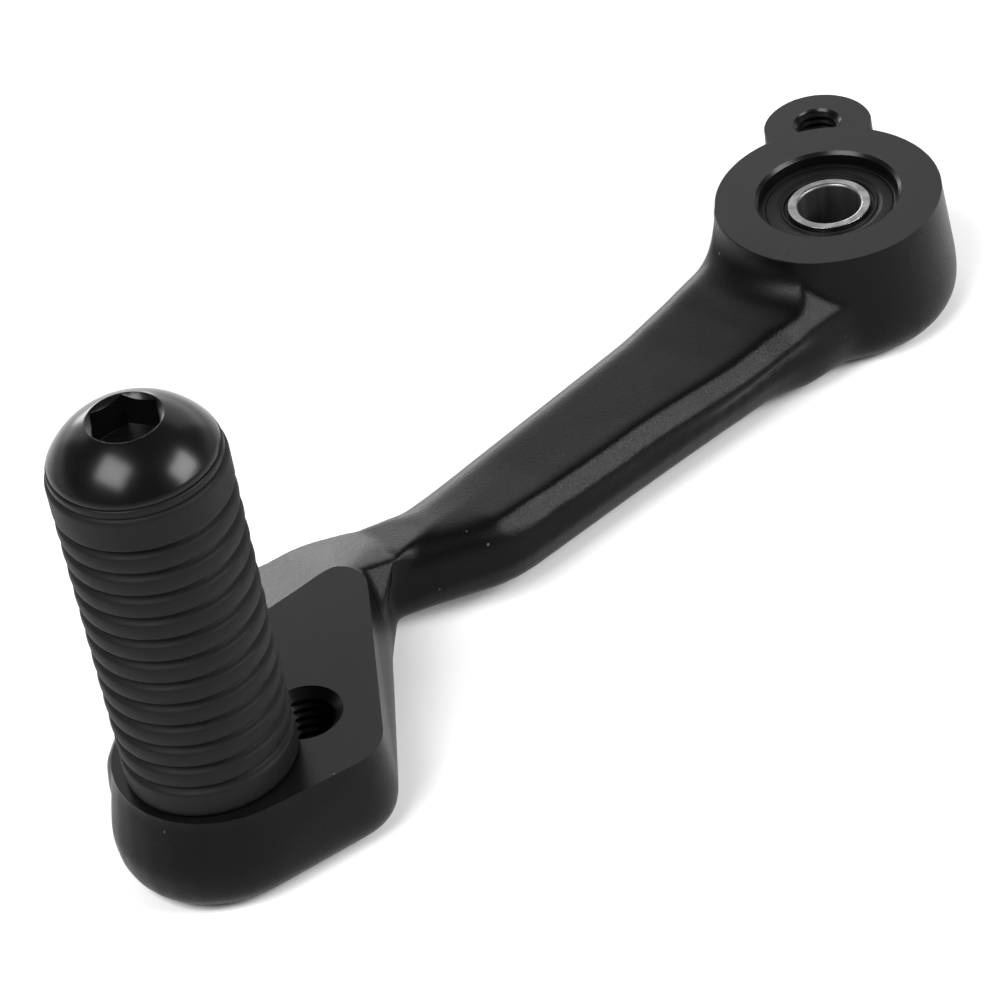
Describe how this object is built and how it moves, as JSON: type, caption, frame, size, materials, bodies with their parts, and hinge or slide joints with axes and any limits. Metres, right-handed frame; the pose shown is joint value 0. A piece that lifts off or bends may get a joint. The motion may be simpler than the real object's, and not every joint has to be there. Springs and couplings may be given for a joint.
{
  "type": "gear shift lever",
  "caption": "Forged motorcycle gear shift lever with a ball-bearing pivot hub, a tapped linkage ear and a ribbed rubber toe peg on a two-position pad.",
  "frame": {"origin": "on the pivot axis, midway along the pivot bore, where the two bearings meet", "axes": "+Z along the pivot axis towards the side the toe peg stands on, +X from the pivot to the toe peg"},
  "size_m": [0.1506, 0.0381, 0.0626],
  "materials": {
    "forged_black": "satin black anodised forging with machined faces",
    "bearing_steel": "ground bearing steel",
    "ball_steel": "polished balls",
    "cage_steel": "pressed steel ribbon",
    "seal_rubber": "moulded nitrile seal",
    "spring_steel": "phosphated spring steel",
    "gloss_screw": "gloss black screw head",
    "washer_black": "satin black washer",
    "tube_steel": "drawn steel tube",
    "peg_rubber": "matt ribbed rubber"
  },
  "bodies": {
    "lever": {"lever_body": "forged_black", "front_outer_ring": "bearing_steel", "rear_outer_ring": "bearing_steel", "front_outer_seal": "seal_rubber", "front_inner_seal": "seal_rubber", "rear_outer_seal": "seal_rubber", "rear_inner_seal": "seal_rubber", "circlip": "spring_steel", "peg_screw": "gloss_screw", "peg_washer": "washer_black", "peg_tube": "tube_steel", "peg_rubber": "peg_rubber"},
    "pivot_rings": {"front_inner_ring": "bearing_steel", "rear_inner_ring": "bearing_steel"},
    "front_ball_set": {"front_balls": "ball_steel", "front_cage_upper": "cage_steel", "front_cage_lower": "cage_steel"},
    "rear_ball_set": {"rear_balls": "ball_steel", "rear_cage_upper": "cage_steel", "rear_cage_lower": "cage_steel"}
  },
  "joints": [
    {"name": "pivot_turn", "type": "hinge", "parent": "lever", "child": "pivot_rings", "pos_m": [0, 0, 0], "axis": [0, 0, 1], "continuous": true},
    {"name": "front_ball_turn", "type": "hinge", "parent": "lever", "child": "front_ball_set", "pos_m": [0, 0, 0.0035], "axis": [0, 0, 1], "continuous": true},
    {"name": "rear_ball_turn", "type": "hinge", "parent": "lever", "child": "rear_ball_set", "pos_m": [0, 0, -0.0035], "axis": [0, 0, 1], "continuous": true}
  ],
  "couplings": [
    {"joint": "front_ball_turn", "follows": "pivot_turn", "ratio": 0.3677},
    {"joint": "rear_ball_turn", "follows": "pivot_turn", "ratio": 0.3677}
  ]
}
